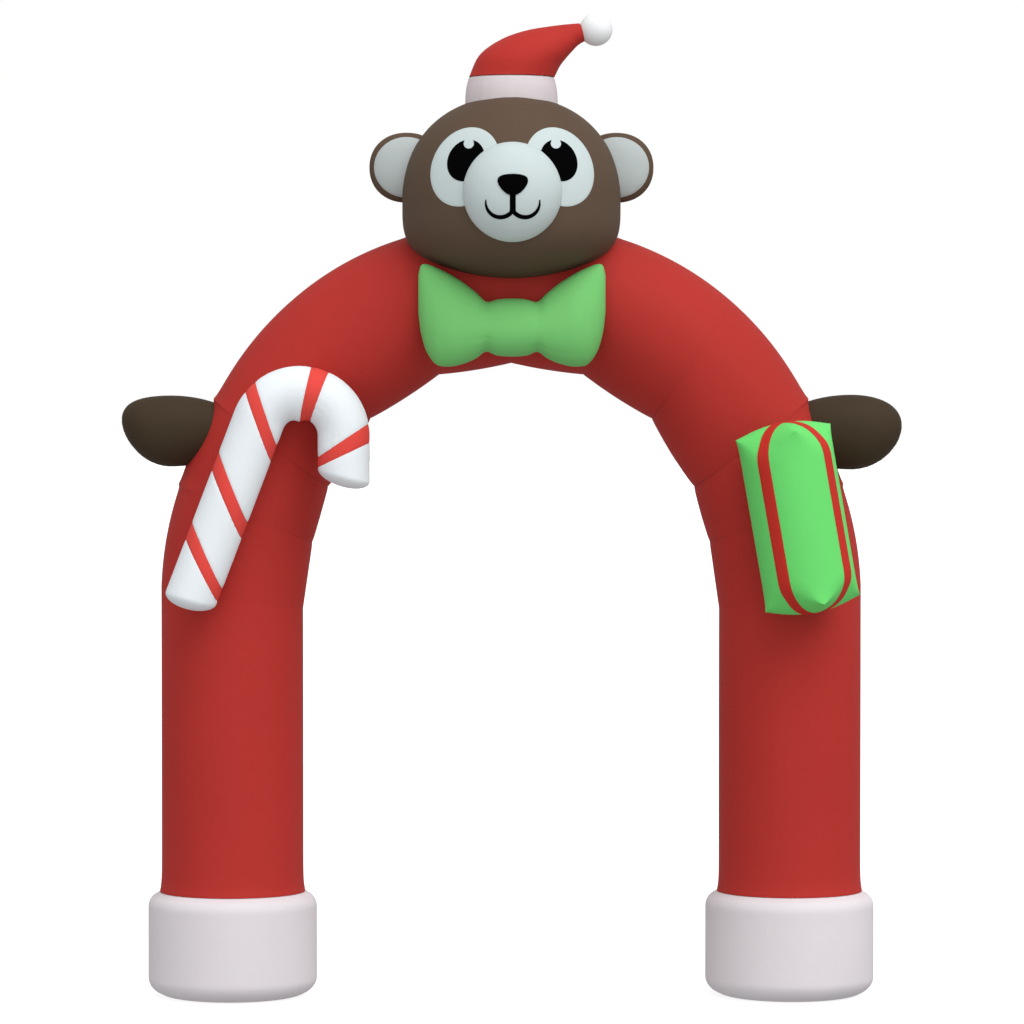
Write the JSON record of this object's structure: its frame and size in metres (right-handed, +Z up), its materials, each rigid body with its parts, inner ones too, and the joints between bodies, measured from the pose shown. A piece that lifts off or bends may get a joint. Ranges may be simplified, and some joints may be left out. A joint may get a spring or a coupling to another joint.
{
  "type": "inflatable arch",
  "caption": "Walk-through inflatable festive arch: a red tube arch on drum feet with an animal head in a bent hat, bow tie, arms, candy cane and gift box.",
  "frame": {"origin": "floor level, under the middle of the part's bounding box", "axes": "+Z up, the front with the face looks to -Y, +X to the right of someone who faces the front"},
  "size_m": [2.3784, 0.7901, 2.9969],
  "materials": {
    "tube_red": "matt woven polyester",
    "foot_white": "matt woven polyester",
    "fur_brown": "matt woven polyester",
    "arm_brown": "matt woven polyester",
    "face_white": "matt woven polyester",
    "ear_white": "matt woven polyester",
    "face_black": "matt woven polyester",
    "hat_red": "matt woven polyester",
    "band_white": "matt woven polyester",
    "bow_green": "matt woven polyester",
    "cane_white": "matt woven polyester",
    "cane_red": "matt woven polyester",
    "gift_green": "matt woven polyester",
    "ribbon_red": "matt woven polyester"
  },
  "bodies": {
    "root": {"foot_left": "foot_white", "leg_left": "tube_red", "arch_left_1": "tube_red", "arch_left_2": "tube_red", "arch_left_3": "tube_red", "arch_left_4": "tube_red", "foot_right": "foot_white", "leg_right": "tube_red", "arch_right_1": "tube_red", "arch_right_2": "tube_red", "arch_right_3": "tube_red", "arch_right_4": "tube_red", "head": "fur_brown", "muzzle": "face_white", "ear_left": "fur_brown", "ear_panel_left": "ear_white", "eye_patch_left": "face_white", "pupil_left": "face_black", "arm_left": "arm_brown", "ear_right": "fur_brown", "ear_panel_right": "ear_white", "eye_patch_right": "face_white", "pupil_right": "face_black", "arm_right": "arm_brown", "nose": "face_black", "mouth": "face_black", "hat_band": "band_white", "hat_cone": "hat_red", "hat_pompom": "band_white", "bow_tie": "bow_green", "cane_white_1": "cane_white", "cane_white_2": "cane_white", "cane_white_3": "cane_white", "cane_white_4": "cane_white", "cane_white_5": "cane_white", "cane_white_6": "cane_white", "cane_stripe_1": "cane_red", "cane_stripe_2": "cane_red", "cane_stripe_3": "cane_red", "cane_stripe_4": "cane_red", "cane_stripe_5": "cane_red", "gift_box": "gift_green", "gift_ribbon": "ribbon_red"}
  },
  "joints": []
}
